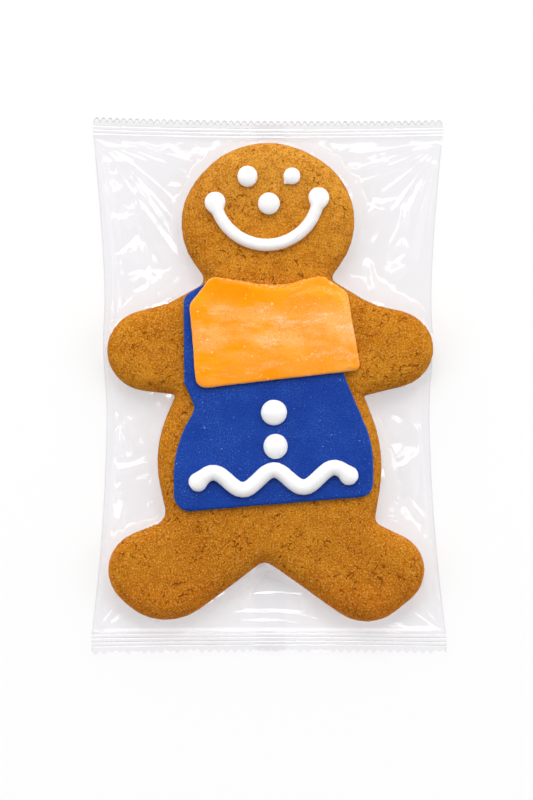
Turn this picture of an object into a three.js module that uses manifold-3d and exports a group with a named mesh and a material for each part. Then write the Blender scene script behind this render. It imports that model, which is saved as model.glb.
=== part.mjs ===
// A gingerbread man biscuit, dressed in two panels of rolled icing and piped with white icing, sealed in a
// clear flow-wrap bag. It lies on its back: +Z is up out of its face, +Y points to its head, and the origin
// is on the surface that it lies on, under the middle of the bag. Millimetres.
//
// The bag is one solid: the low pillow of film round the biscuit, with its two crimped end seals, and a
// pocket in the shape of the biscuit, which is open above. The biscuit lies in that pocket, and each piece of
// icing is a solid of its own on top of it.

import * as THREE from "three";
import { mergeVertices } from "three/addons/utils/BufferGeometryUtils.js";
import Module from "manifold-3d";

const wasm = await Module();
wasm.setup();

// ---------------------------------------------------------------- driving dimensions

const gap = 0.3; // between a piece and what it rests on or lies in

// Discs [x, y, radius] that the biscuit cutter's outline runs round, counter-clockwise. A positive radius is
// a rounded end inside the outline, a negative one a hollow outside it.
const biscuitDiscs = {
  rightCheek: [4, 52, 22.5],
  crown: [-0.5, 49.5, 27],
  leftCheek: [-6, 51.5, 21.5],
  leftNeck: [-23.5, 34, -3],
  leftShoulder: [-38, 42, -17],
  leftHand: [-38, 11.5, 12.5],
  leftArmpit: [-30.5, -3, -1],
  leftFlank: [1, -23.5, 36],
  leftHip: [-37, -39, -4.5],
  leftHeel: [-38.5, -57.5, 12],
  leftSole: [-32.5, -55.5, 17.5],
  crotch: [-1.5, -58.5, -3.5],
  rightSole: [30.5, -59, 14.5],
  rightHeel: [37, -57.5, 11.5],
  rightHip: [36, -41, -3],
  rightFlank: [-8.5, -25, 43.5],
  rightArmpit: [30, -3, -0.5],
  rightHand: [38.5, 12, 12],
  rightShoulder: [43, 53, -29],
  rightNeck: [21.5, 34.5, -2],
};
const biscuitThickness = 9;
const biscuitEdge = {
  rise: [0.3, 0.7], // the lower edge: how far in and how high its middle is
  foot: 1.1, // how far in the flat back ends
  height: 2.6, // of the widest place, from which the edge rounds over
  reach: 7, // how far in the rounding ends
  roundness: 2.3, // exponent of its superellipse: 2 is an ellipse
  steps: [0, 0.03, 0.12, 0.29, 0.56, 1], // shares of the rounding's reach at which it is divided
};

// The blue panel covers the man from the shoulders to the hips, nicked in at the waist.
const blueDiscs = {
  rightShoulder: [18.5, 25, 3],
  neckline: [1, 54, -25],
  leftCollar: [-18.5, 31.5, 1.8],
  leftShoulder: [-23.5, 26.5, 3.5],
  leftWaist: [-23.5, 2, 3.3],
  leftNick: [-27.5, -6.5, -3.8],
  leftHip: [1.5, -27, 31.5],
  leftHem: [-25, -34, 5],
  rightHem: [28.5, -30.5, 4],
  rightHip: [2, -24.5, 30.7],
  rightNick: [27.5, 4.5, -4],
};
const blueCentre = new THREE.Vector2(0, -4);

// The orange panel lies over the blue one, as a bib.
const orangeDiscs = {
  rightShoulder: [21.5, 27.5, 3.3],
  rightCollar: [16, 32.5, 2.4],
  neckline: [1, 60, -28],
  leftCollar: [-17, 31.5, 3],
  leftShoulder: [-22, 25, 3],
  leftHem: [-20, 3, 3.3],
  rightHem: [26.3, 7, 2],
};
const orangeCentre = new THREE.Vector2(1, 17);

const panelThickness = 1.6;
const panelEdge = 0.7; // radius of a panel's upper edge
const panelRound = 0.3; // share of that radius that the middle of the rounding lies in and down
const panelRings = [0.94, 0.86, 0.72]; // sizes of the rings that a panel's faces are divided by
const panelBridge = 2.4; // a panel follows the biscuit's rounded edge down to this distance from its outline
const panelRamp = 3; // the orange panel comes down to the biscuit over this width past the blue one's edge

// White icing: the face, two buttons and a wave along the hem. Heights are over what the icing lies on. A
// bead's half-width is `bead`, and `end` is the radius of the blobs at its ends.
const eyeLeft = { x: -6.9, y: 66, width: 6.5, length: 6.8, height: 2.4 };
const eyeRight = { x: 7.0, y: 66.1, width: 5.5, length: 5.5, height: 2.2 };
const nose = { x: -0.2, y: 57.5, width: 7.1, length: 7.1, height: 2.7 };
const buttonUpper = { x: 1.4, y: -8.0, width: 8.4, length: 8.2, height: 2.8 };
const buttonLower = { x: 1.9, y: -18.6, width: 7.8, length: 8.0, height: 2.7 };
const eyeDrip = { angle: 225, radius: 0.75, height: 0.8 }; // a speck of icing on the right eye's rim
const smile = { x: -0.9, y: 60.9, radius: 16.4, from: 190.5, to: 354.5 };
const smileBead = { bead: 2, end: 3.35, height: 2.5, steps: 20 };
const wave = { from: -22.5, to: 25, y: -28.9, climb: 2, crests: 2.5, swing: 2.9 };
const waveBead = { bead: 2.5, end: 2.8, height: 2.8, steps: 44 };
const icingFoot = { width: 0.93, height: 0.2 }; // shares of its size: of its foot, and up to where it bulges
const icingFlow = 5; // how sharply a bead turns into the blobs at its ends
const icingSteps = { drop: 5, bead: 4 }; // straight parts in half of a dome

const bag = {
  halfLength: 84.9,
  waistHalfWidth: 51.7,
  topHalfWidth: 55.4,
  bottomHalfWidth: 56.4,
  waistReach: 15, // the sides run straight this far from the middle
  floor: 0.5, // film under the biscuit
  sideHeight: 0.9, // of the folded side edges
  besideBiscuit: 8, // of the pillow where it meets the biscuit
};
const seal = { width: 6.4, height: 1.2, thickness: 0.5, ridges: 5, ridge: 0.3, lift: 1.4 };
const sealOverlap = 0.4; // how far the pillow runs into a seal
const pinking = { teeth: 52, depth: 0.9 }; // the toothed cut edges

const biscuitBase = bag.floor + gap;
const biscuitTop = biscuitBase + biscuitThickness;
const blueTop = biscuitTop + gap + panelThickness;

// ---------------------------------------------------------------- outlines

const arcStep = THREE.MathUtils.degToRad(14);

// The counter-clockwise outline of a belt round the discs, as points with their inward normals.
function belt(discs, finest) {
  const row = Object.values(discs);
  const normals = row.map(([x, y, r], i) => {
    const [nextX, nextY, nextR] = row[(i + 1) % row.length];
    const distance = Math.hypot(nextX - x, nextY - y);
    return Math.atan2(nextY - y, nextX - x) + Math.acos((nextR - r) / distance);
  });
  const points = [];
  row.forEach(([x, y, r], i) => {
    const from = normals.at(i - 1);
    const full = 2 * Math.PI * Math.sign(r);
    let turn = (((normals[i] - from) / full) % 1 + 1) % 1 * full;
    if (Math.abs(turn) > 1.5 * Math.PI) turn -= full;
    const steps = Math.max(1, Math.ceil(Math.abs(turn) / arcStep), Math.ceil(Math.abs(turn * r) / finest));
    for (let k = 0; k <= steps; k++) {
      const angle = from + (turn * k) / steps;
      const normal = new THREE.Vector2(Math.cos(angle), Math.sin(angle));
      points.push({ at: new THREE.Vector2(x, y).addScaledVector(normal, -r), normal });
    }
  });
  return points.filter(({ at }, i) => at.distanceTo(points[(i + 1) % points.length].at) > 1e-3);
}

// The same outline with the straight joins between its discs divided too.
function divided(outline, finest) {
  return outline.flatMap((point, i) => {
    const next = outline[(i + 1) % outline.length];
    const steps = Math.ceil(point.at.distanceTo(next.at) / finest);
    return Array.from({ length: steps }, (_, k) => ({
      at: point.at.clone().lerp(next.at, k / steps),
      normal: point.normal.clone().lerp(next.normal, k / steps).normalize(),
    }));
  });
}

const inset = (outline, depth) => outline.map(({ at, normal }) => at.clone().addScaledVector(normal, depth));

// How far a place is inside an outline, or, as a negative number, outside it.
function depthInside(outline, x, y) {
  let nearest = Infinity;
  let inside = false;
  outline.forEach(({ at: a }, i) => {
    const b = outline[(i + 1) % outline.length].at;
    const length2 = a.distanceToSquared(b);
    const along = ((x - a.x) * (b.x - a.x) + (y - a.y) * (b.y - a.y)) / length2;
    const t = THREE.MathUtils.clamp(along, 0, 1);
    nearest = Math.min(nearest, Math.hypot(x - a.x - t * (b.x - a.x), y - a.y - t * (b.y - a.y)));
    if (a.y > y !== b.y > y && x < a.x + ((y - a.y) / (b.y - a.y)) * (b.x - a.x)) inside = !inside;
  });
  return inside ? nearest : -nearest;
}

// ---------------------------------------------------------------- closed geometry

// A closed body through rings of as many points each, from its lowest face up, over its rim and in to the
// top. An end that is a single point closes in a fan, any other end in a flat face.
function loft(rings) {
  const starts = rings.map((_, r) => rings.slice(0, r).reduce((sum, ring) => sum + ring.length, 0));
  const count = Math.max(...rings.map((ring) => ring.length));
  const index = [];
  rings.slice(1).forEach((ring, r) => {
    const [below, above] = [starts[r], starts[r + 1]];
    for (let i = 0; i < count; i++) {
      const j = (i + 1) % count;
      if (rings[r].length > 1 && ring.length > 1) {
        index.push(below + i, below + j, above + j, below + i, above + j, above + i);
      } else if (ring.length > 1) index.push(below, above + j, above + i);
      else index.push(below + i, below + j, above);
    }
  });
  const close = (r, upward) => {
    const flat = rings[r].map((p) => new THREE.Vector2(p.x, p.y));
    if (flat.length < 3) return;
    for (const [a, b, c] of THREE.ShapeUtils.triangulateShape(flat, [])) {
      index.push(...[a, upward ? b : c, upward ? c : b].map((corner) => starts[r] + corner));
    }
  };
  close(0, false);
  close(rings.length - 1, true);
  return indexed(rings.flat(), index);
}

function indexed(points, index) {
  const geometry = new THREE.BufferGeometry();
  geometry.setAttribute("position", new THREE.Float32BufferAttribute(points.flatMap((p) => p.toArray()), 3));
  return geometry.setIndex(index);
}

// The points of a plane outline in space, at the height `z`, or at the height that `z` gives for each.
function raise(points, z) {
  const heightOf = typeof z === "function" ? z : () => z;
  return points.map((p) => new THREE.Vector3(p.x, p.y, heightOf(p)));
}

function toSolid(geometry) {
  const bare = new THREE.BufferGeometry().setAttribute("position", geometry.getAttribute("position"));
  if (geometry.index) bare.setIndex(geometry.index);
  const merged = mergeVertices(bare, 1e-4);
  return new wasm.Manifold(
    new wasm.Mesh({
      numProp: 3,
      vertProperties: new Float32Array(merged.attributes.position.array),
      triVerts: new Uint32Array(merged.index.array),
    }),
  );
}

function toGeometry(solid) {
  const mesh = solid.getMesh();
  const geometry = new THREE.BufferGeometry();
  geometry.setAttribute("position", new THREE.BufferAttribute(mesh.vertProperties, 3));
  geometry.setIndex(new THREE.BufferAttribute(mesh.triVerts, 1));
  return geometry;
}

function prism(points, from, to) {
  const settings = { depth: to - from, bevelEnabled: false };
  return new THREE.ExtrudeGeometry(new THREE.Shape(points), settings).translate(0, 0, from);
}

// ---------------------------------------------------------------- the biscuit

const biscuitOutline = belt(biscuitDiscs, 4.6);

// Height of the biscuit's surface over its flat back, at a distance in from its outline.
function biscuitRise(depth) {
  const { reach, height, roundness } = biscuitEdge;
  const out = 1 - THREE.MathUtils.clamp(depth / reach, 0, 1);
  return height + (biscuitThickness - height) * (1 - out ** roundness) ** (1 / roundness);
}

// What a panel rests on. It bridges the lowest part of the biscuit's rounded edge.
function underPanel(x, y) {
  return biscuitBase + biscuitRise(Math.max(panelBridge, depthInside(biscuitOutline, x, y))) + gap;
}

function biscuitGeometry() {
  const { rise, foot, reach, steps } = biscuitEdge;
  const profile = [[foot, 0], rise, ...steps.map((share) => [share * reach, biscuitRise(share * reach)])];
  return loft(profile.map(([depth, z]) => raise(inset(biscuitOutline, depth), biscuitBase + z)));
}

// ---------------------------------------------------------------- rolled icing panels

// A sheet of even thickness that lies on a surface. Its rings close in on a centre.
function panelGeometry(outline, centre, surface) {
  const inner = inset(outline, panelEdge);
  const smaller = (ring, size) => ring.map((p) => p.clone().sub(centre).multiplyScalar(size).add(centre));
  const rings = [inset(outline, 0), inner, ...panelRings.map((size) => smaller(inner, size)), [centre]];
  const under = (p) => surface(p.x, p.y);
  const over = (p) => under(p) + panelThickness;
  const edge = raise(rings[0], (p) => over(p) - panelEdge);
  const rounding = panelRound * panelEdge;
  const round = raise(inset(outline, rounding), (p) => over(p) - rounding);
  return loft([
    ...rings.toReversed().map((ring) => raise(ring, under)),
    edge,
    round,
    ...rings.slice(1).map((ring) => raise(ring, over)),
  ]);
}

const blueOutline = divided(belt(blueDiscs, 4), 4);
const orangeOutline = divided(belt(orangeDiscs, 3), 3);

// The orange panel lies on the blue one, and comes down on to the biscuit beyond it.
function underOrange(x, y) {
  const cover = THREE.MathUtils.smoothstep(depthInside(blueOutline, x, y) + panelRamp, 0, 0.5 * panelRamp);
  return underPanel(x, y) + cover * (panelThickness + gap);
}

// ---------------------------------------------------------------- piped icing

// Half the section of piped icing, one wide and one high: a flat foot, then a dome that bulges over it.
function icingProfile(steps) {
  const dome = Array.from({ length: steps }, (_, k) => {
    const angle = (k / steps) * (Math.PI / 2);
    return new THREE.Vector2(Math.cos(angle), THREE.MathUtils.lerp(icingFoot.height, 1, Math.sin(angle)));
  });
  return [new THREE.Vector2(icingFoot.width, 0), ...dome, new THREE.Vector2(0, 1)];
}

// A round drop of icing.
function dropGeometry({ width, length, height }, segments = 24) {
  const profile = [new THREE.Vector2(0, 0), ...icingProfile(icingSteps.drop)];
  return new THREE.LatheGeometry(profile, segments).rotateX(Math.PI / 2).scale(width / 2, length / 2, height);
}

// A bead of icing laid along a curve in the plane, with a round blob at each end.
function beadGeometry(curve, { bead, end, height, steps }) {
  const length = curve.getLength();
  const blobStep = Math.PI / 10;
  const blob = Array.from({ length: 9 }, (_, k) => -end * Math.cos((k + 1) * blobStep));
  const middle = curve.getLengths(steps).filter((s) => s > end && s < length - end);
  const along = [...blob, ...middle, ...blob.map((s) => length - s).reverse()];
  const half = icingProfile(icingSteps.bead);
  const section = [...half, ...half.slice(0, -1).toReversed().map((p) => new THREE.Vector2(-p.x, p.y))];
  const roundAt = (distance) => Math.sqrt(Math.max(0, 1 - (distance / end) ** 2));
  const rings = along.map((s) => {
    const onCurve = THREE.MathUtils.clamp(s, 0, length);
    const tangent = curve.getTangentAt(onCurve / length);
    const centre = curve.getPointAt(onCurve / length).addScaledVector(tangent, s - onCurve);
    const swollen = end * roundAt(Math.min(onCurve, length - onCurve));
    const round = roundAt(s - onCurve);
    const halfWidth = (bead ** icingFlow + swollen ** icingFlow) ** (1 / icingFlow) * round;
    const top = height * Math.sqrt(round);
    return section.map(({ x, y }) => {
      const side = x * halfWidth;
      return new THREE.Vector3(centre.x - tangent.y * side, centre.y + tangent.x * side, y * top);
    });
  });
  return tubeOfSections(rings);
}

// Closes a row of sections, of as many points each, into a body.
function tubeOfSections(sections) {
  const count = sections[0].length;
  const index = [];
  for (let s = 0; s + 1 < sections.length; s++) {
    for (let i = 0; i < count; i++) {
      const [a, b] = [s * count + i, s * count + ((i + 1) % count)];
      index.push(a, b, b + count, a, b + count, a + count);
    }
  }
  const last = (sections.length - 1) * count;
  for (let i = 1; i + 1 < count; i++) {
    index.push(0, i + 1, i);
    index.push(last, last + i, last + i + 1);
  }
  return indexed(sections.flat(), index);
}

// The smile is an arc of a circle, run from the left corner of the mouth to the right.
function smileGeometry() {
  const [from, to] = [smile.from, smile.to].map(THREE.MathUtils.degToRad);
  const arc = new THREE.EllipseCurve(smile.x, smile.y, smile.radius, smile.radius, from, to);
  return beadGeometry(arc, smileBead);
}

// The wave swings about a line that climbs a little from left to right, as the hem does.
function waveGeometry() {
  const steps = 36;
  const points = Array.from({ length: steps + 1 }, (_, k) => {
    const t = k / steps;
    const x = THREE.MathUtils.lerp(wave.from, wave.to, t);
    const swing = wave.swing * Math.sin(2 * Math.PI * wave.crests * t);
    return new THREE.Vector2(x, wave.y + wave.climb * (t - 0.5) + swing);
  });
  return beadGeometry(new THREE.SplineCurve(points), waveBead);
}

// The right eye, with a speck of icing where the nozzle was pulled away.
function eyeRightGeometry() {
  const angle = THREE.MathUtils.degToRad(eyeDrip.angle);
  const { radius, height } = eyeDrip;
  const speck = dropGeometry({ width: 2 * radius, length: 2 * radius, height }, 10);
  speck.translate((Math.cos(angle) * eyeRight.width) / 2, (Math.sin(angle) * eyeRight.length) / 2, 0);
  return toGeometry(toSolid(dropGeometry(eyeRight)).add(toSolid(speck)));
}

// ---------------------------------------------------------------- the bag

function bagHalfWidth(y) {
  const endHalfWidth = y > 0 ? bag.topHalfWidth : bag.bottomHalfWidth;
  const t = Math.max(0, Math.abs(y) - bag.waistReach) / (bag.halfLength - bag.waistReach);
  return THREE.MathUtils.lerp(bag.waistHalfWidth, endHalfWidth, t * t);
}

const pillowHalfLength = bag.halfLength - pinking.depth - seal.width + sealOverlap;

// The upper film slopes from the biscuit down to the side folds and the seals.
function filmHeight(x, y) {
  const toSide = bagHalfWidth(y) - Math.abs(x);
  const toSeal = pillowHalfLength - Math.abs(y);
  const toEdge = Math.max(0, Math.min(toSide, toSeal));
  const toBiscuit = Math.max(0, -depthInside(biscuitOutline, x, y));
  const edge = toSeal < toSide ? seal.height + seal.thickness / 2 : bag.sideHeight;
  return toEdge > 0 ? THREE.MathUtils.lerp(edge, bag.besideBiscuit, toEdge / (toEdge + toBiscuit)) : edge;
}

// The lower film lies flat, and lifts to the seals at its ends.
function filmFloor(y) {
  const t = THREE.MathUtils.clamp(1 - (pillowHalfLength - Math.abs(y)) / seal.lift, 0, 1);
  return (seal.height - seal.thickness / 2) * t * t;
}

// The pillow between the seals, shaped from a box whose upper and lower faces are grids.
function pillowGeometry() {
  const box = new THREE.BoxGeometry(2, 2, 2, 18, 26, 1);
  const position = box.getAttribute("position");
  for (let i = 0; i < position.count; i++) {
    const t = position.getY(i);
    const y = (pillowHalfLength * (t + Math.sin((t * Math.PI) / 2))) / 2; // rows are closer towards the ends
    const x = bagHalfWidth(y) * position.getX(i);
    position.setXYZ(i, x, y, position.getZ(i) < 0 ? filmFloor(y) : filmHeight(x, y));
  }
  return box;
}

// A crimped end seal: a ribbed strip along X, cut to the bag's sides and to its toothed edge. `end` is 1 at
// the head of the bag and -1 at its foot.
function sealSolid(end) {
  const outer = bag.halfLength;
  const inner = outer - pinking.depth - seal.width;
  const base = seal.height - seal.thickness / 2;
  const lower = Array.from({ length: 2 * seal.ridges + 1 }, (_, k) => {
    const y = inner + (seal.width * k) / (2 * seal.ridges);
    return new THREE.Vector2(y, base + (k % 2 ? seal.ridge : -seal.ridge));
  });
  lower.push(new THREE.Vector2(outer + 1, base));
  const upper = lower.map(({ x, y }) => new THREE.Vector2(x, y + seal.thickness)).reverse();
  // The section is drawn in (y, z), then turned to lie across the bag.
  const reach = bag.bottomHalfWidth + 1;
  const section = new THREE.Shape([...lower, ...upper]);
  const ribbed = new THREE.ExtrudeGeometry(section, { depth: 2 * reach, bevelEnabled: false });
  ribbed.applyMatrix4(new THREE.Matrix4().set(0, 0, 1, -reach, 1, 0, 0, 0, 0, 1, 0, 0, 0, 0, 0, 1));
  const innerHalf = bagHalfWidth(end * inner);
  const outerHalf = bagHalfWidth(end * outer);
  const teeth = Array.from({ length: 2 * pinking.teeth + 1 }, (_, k) => {
    const across = 1 - k / pinking.teeth;
    return new THREE.Vector2(outerHalf * across, outer - (k % 2 ? 0 : pinking.depth));
  });
  const cut = [new THREE.Vector2(-innerHalf, inner), new THREE.Vector2(innerHalf, inner), ...teeth];
  const strip = toSolid(ribbed).intersect(toSolid(prism(cut, 0, 2 * seal.height)));
  return end > 0 ? strip : toSolid(toGeometry(strip).rotateZ(Math.PI));
}

function bagGeometry() {
  const pocket = prism(inset(biscuitOutline, -gap), bag.floor, biscuitTop);
  const whole = toSolid(pillowGeometry()).add(sealSolid(1)).add(sealSolid(-1));
  return toGeometry(whole.subtract(toSolid(pocket)));
}

// ---------------------------------------------------------------- materials

const biscuitCrumb = new THREE.MeshStandardMaterial({ color: 0xb97a25, roughness: 0.85, metalness: 0 });
const blueIcing = new THREE.MeshStandardMaterial({ color: 0x23489b, roughness: 0.6, metalness: 0 });
const orangeIcing = new THREE.MeshStandardMaterial({ color: 0xfcac3d, roughness: 0.6, metalness: 0 });
const whiteIcing = new THREE.MeshStandardMaterial({ color: 0xf5f6f3, roughness: 0.35, metalness: 0 });
const clearFilm = new THREE.MeshStandardMaterial({
  color: 0xf2f2f4,
  roughness: 0.1,
  metalness: 0,
  transparent: true,
  opacity: 0.3,
});

// ---------------------------------------------------------------- the whole

const whole = new THREE.Group();

function place(name, geometry, material, x = 0, y = 0, z = 0) {
  const mesh = new THREE.Mesh(geometry, material);
  mesh.name = name;
  mesh.position.set(x, y, z);
  whole.add(mesh);
}

const onBiscuit = biscuitTop + gap;
const onBlue = blueTop + gap;

place("bag", bagGeometry(), clearFilm);
place("biscuit", biscuitGeometry(), biscuitCrumb);
place("blue_panel", panelGeometry(blueOutline, blueCentre, underPanel), blueIcing);
place("orange_panel", panelGeometry(orangeOutline, orangeCentre, underOrange), orangeIcing);
place("eye_left", dropGeometry(eyeLeft), whiteIcing, eyeLeft.x, eyeLeft.y, onBiscuit);
place("eye_right", eyeRightGeometry(), whiteIcing, eyeRight.x, eyeRight.y, onBiscuit);
place("nose", dropGeometry(nose), whiteIcing, nose.x, nose.y, onBiscuit);
place("smile", smileGeometry(), whiteIcing, 0, 0, onBiscuit);
place("button_upper", dropGeometry(buttonUpper), whiteIcing, buttonUpper.x, buttonUpper.y, onBlue);
place("button_lower", dropGeometry(buttonLower), whiteIcing, buttonLower.x, buttonLower.y, onBlue);
place("hem_wave", waveGeometry(), whiteIcing, 0, 0, onBlue);

export default whole;
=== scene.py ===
# %% [markdown]
# # A gingerbread man in a clear bag
#
# A biscuit the size of a hand lies on its back in a sealed flow-wrap bag. It wears two panels of rolled
# icing and some piped white icing. The solids of the biscuit, the icing and the bag come from the packed
# model, which is the fixed frame. Here each of them gets a softer form and its finish, and the bag becomes
# real film in three pieces.

# %% The frame
import math
import random

import bmesh
import bpy
import numpy as np
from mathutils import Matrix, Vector, noise
from mathutils.bvhtree import BVHTree


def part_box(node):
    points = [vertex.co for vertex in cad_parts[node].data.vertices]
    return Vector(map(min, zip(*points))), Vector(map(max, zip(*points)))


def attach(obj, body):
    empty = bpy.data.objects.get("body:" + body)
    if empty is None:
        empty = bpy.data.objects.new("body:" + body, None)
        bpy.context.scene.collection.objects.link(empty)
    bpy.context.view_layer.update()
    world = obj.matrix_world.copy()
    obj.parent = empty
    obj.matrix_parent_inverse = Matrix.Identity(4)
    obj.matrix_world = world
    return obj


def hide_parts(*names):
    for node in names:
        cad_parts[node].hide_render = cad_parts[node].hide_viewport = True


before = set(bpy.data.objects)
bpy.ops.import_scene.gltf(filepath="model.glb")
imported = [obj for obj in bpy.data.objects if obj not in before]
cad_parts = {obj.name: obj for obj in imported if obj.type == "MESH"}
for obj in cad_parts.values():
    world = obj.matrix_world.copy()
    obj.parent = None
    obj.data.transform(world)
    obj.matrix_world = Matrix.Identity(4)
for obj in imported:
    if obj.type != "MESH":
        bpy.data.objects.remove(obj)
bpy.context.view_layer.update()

print("solids:", sorted(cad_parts))

MM = 0.001
SEED = 7


def share(value):
    """A number kept from 0 to 1."""
    return min(1, max(0, value))


def shares(values):
    """An array kept from 0 to 1."""
    return np.clip(values, 0, 1)


def bell(distances, width):
    """1 at no distance, falling off smoothly to about a third at this width."""
    return np.exp(-((distances / width) ** 2))


def far_off(seed, steps):
    """Where noise is read for this seed, so that no two pieces share a pattern."""
    return Vector([seed * step for step in steps])


def as_piece(name, bm, smooth=True):
    """Turns a bmesh into an object at the origin."""
    mesh = bpy.data.meshes.new(name)
    bm.to_mesh(mesh)
    bm.free()
    if smooth:
        mesh.shade_smooth()
    piece = bpy.data.objects.new(name, mesh)
    bpy.context.scene.collection.objects.link(piece)
    return piece

# %% [markdown]
# ## Camera
#
# The biscuit is seen from straight above, with its head at the top of an upright picture. A long lens far
# away keeps the raised icing from leaning outwards. The distance follows from the lens: a sensor 36 mm high
# sees 251.6 mm of the table.

# %% Camera
view_middle = (-0.94 * MM, -4.09 * MM)
view_height = 251.6 * MM
lens = 300
sensor = 36
focus_level = 3 * MM

camera = bpy.data.objects.new("camera", bpy.data.cameras.new("camera"))
camera.data.lens = lens
camera.data.sensor_width = sensor
camera.data.clip_end = 20
camera.location = (*view_middle, focus_level + view_height * lens / sensor)
bpy.context.scene.collection.objects.link(camera)
bpy.context.scene.camera = camera
print("camera height:", round(camera.location.z, 3), "m")

# %% [markdown]
# ## A small language for finishes
#
# Every finish here is a sum of patterns, so it reads best as arithmetic. `Wire` wraps the output of a node
# and turns +, -, * and ** into Math nodes. `Finish` holds the nodes of one material, or of the world round
# the scene, and its `add` makes any other node.

# %% Wires
class Wire:
    """The output of a node, which can be used in arithmetic."""

    def __init__(self, finish, socket):
        self.finish, self.socket = finish, socket

    def maths(self, operation, *values, clamp=False):
        sockets = dict(enumerate(values))
        return self.finish.add("ShaderNodeMath", {"operation": operation, "use_clamp": clamp}, sockets)

    def __add__(self, other):
        return self.maths("ADD", self, other)

    def __radd__(self, other):
        return self.maths("ADD", other, self)

    def __sub__(self, other):
        return self.maths("SUBTRACT", self, other)

    def __rsub__(self, other):
        return self.maths("SUBTRACT", other, self)

    def __mul__(self, other):
        return self.maths("MULTIPLY", self, other)

    def __rmul__(self, other):
        return self.maths("MULTIPLY", other, self)

    def __pow__(self, other):
        return self.maths("POWER", self, other)

    def clamped(self):
        """Kept from 0 to 1."""
        return self.maths("ADD", self, 0.0, clamp=True)

    def between(self, low, high):
        """0 up to low, 1 from high, and a smooth rise between them. It falls where low is the higher one."""
        settings = {"interpolation_type": "SMOOTHSTEP"}
        sockets = {"Value": self, "From Min": low, "From Max": high, "To Min": 0.0, "To Max": 1.0}
        if low > high:
            sockets.update({"From Min": high, "From Max": low, "To Min": 1.0, "To Max": 0.0})
        return self.finish.add("ShaderNodeMapRange", settings, sockets)


# %% Finishes
class Finish:
    """The nodes of a material or of the world. Its patterns are laid out by the place on the piece."""

    def __init__(self, owner, place="Object"):
        self.owner = owner
        self.owner.use_nodes = True
        self.tree = self.owner.node_tree
        self.tree.nodes.clear()
        self.place = self.add("ShaderNodeTexCoord", output=place)

    def add(self, kind, settings=None, sockets=None, output=0):
        """Any node, with its settings and with a wire or a value for each of its sockets that needs one."""
        node = self.tree.nodes.new(kind)
        for key, value in (settings or {}).items():
            setattr(node, key, value)
        for key, value in (sockets or {}).items():
            if isinstance(value, Wire):
                self.tree.links.new(value.socket, node.inputs[key])
            else:
                node.inputs[key].default_value = value
        return Wire(self, node.outputs[output])

    def blend(self, mask, under, over):
        """One colour over another, as strong as the mask."""
        colours = [c if isinstance(c, Wire) else (*c, 1) for c in (under, over)]
        settings = {"data_type": "RGBA"}
        return self.add("ShaderNodeMix", settings, {0: mask, 6: colours[0], 7: colours[1]}, output=2)

    def stretched(self, across, turn=0.0):
        """The place on the piece, so that a pattern on it is drawn out across the piece, or turned too."""
        sockets = {"Vector": self.place, "Scale": (across, 1, 1), "Rotation": (0, 0, turn)}
        return self.add("ShaderNodeMapping", None, sockets)

    def shifted(self, amount, size):
        """The place on the piece, pushed about by noise, so that a pattern on it wanders."""
        noise_sockets = {"Vector": self.place, "Scale": 1 / size}
        push = self.add("ShaderNodeTexNoise", None, noise_sockets, output="Color")
        settings = {"operation": "MULTIPLY_ADD"}
        return self.add("ShaderNodeVectorMath", settings, {0: push, 1: (amount,) * 3, 2: self.place})

    def grain(self, size, detail=2.0, roughness=0.5, base=None):
        """Noise with grains of about this size in metres."""
        sockets = {"Vector": base or self.place, "Scale": 1 / size, "Detail": detail, "Roughness": roughness}
        return self.add("ShaderNodeTexNoise", None, sockets)

    def cell_edges(self, size, base=None):
        """How far each place is from the edge of its cell, for cells of about this size in metres."""
        sockets = {"Vector": base or self.place, "Scale": 1 / size}
        return self.add("ShaderNodeTexVoronoi", {"feature": "DISTANCE_TO_EDGE"}, sockets)

    def axis(self, name):
        """How far each place lies along the axis X, Y or Z."""
        return self.add("ShaderNodeSeparateXYZ", None, {0: self.place}, output=name)

    def attribute(self, name):
        """A number that the piece's own points carry."""
        return self.add("ShaderNodeAttribute", {"attribute_name": name}, output="Fac")

    def bump(self, height, depth):
        """Small relief: height is a pattern from 0 to 1, and depth is how deep it is in metres."""
        return self.add("ShaderNodeBump", None, {"Height": height, "Distance": depth, "Strength": 1.0})

    def surface(self, shader, output="ShaderNodeOutputMaterial"):
        """Ends the nodes with this shader and gives back what they belong to."""
        self.tree.links.new(shader.socket, self.tree.nodes.new(output).inputs["Surface"])
        return self.owner

    def painted(self, colour_below, coats):
        """A colour with coats over it, each a mask and a colour as a screen shows it."""
        for mask, shade in coats:
            colour_below = self.blend(mask, colour_below, colour(*shade))
        return colour_below

    def principled(self, look):
        """Ends the nodes with an everyday surface that looks like this."""
        return self.surface(self.add("ShaderNodeBsdfPrincipled", None, look))


# %% Colours
def colour(red, green, blue):
    """A colour as a screen shows it, from 0 to 255, as the linear values that a shader needs."""
    levels = [v / 255 for v in (red, green, blue)]
    return tuple(v / 12.92 if v <= 0.04045 else ((v + 0.055) / 1.055) ** 2.4 for v in levels)

# %% [markdown]
# ## Table and light
#
# Clear film shows only by what it mirrors, so it is lit as for a catalogue. The bag lies on a sheet of opal
# acrylic that is lit from below, which keeps the ground nearly white and the shadows pale. A white tent
# stands round it, and the camera looks in through a dark opening at the top: film that lies flat mirrors
# the opening and turns pale grey, and a crease that tilts it mirrors something bright and turns white.
#
# A lamp that lights well is often a poor thing to see mirrored. So the lamps come in two kinds. Three soft
# boxes light the biscuit, mostly from past its head, and no gloss shows them. Four panels light nothing and
# are seen only in the gloss of the film and the icing. That way highlights and shading are set one by one.

# %% Opal table
table_size = 6
bm = bmesh.new()
bmesh.ops.create_grid(bm, x_segments=1, y_segments=1, size=table_size / 2)
table = as_piece("table", bm, smooth=False)

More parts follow.
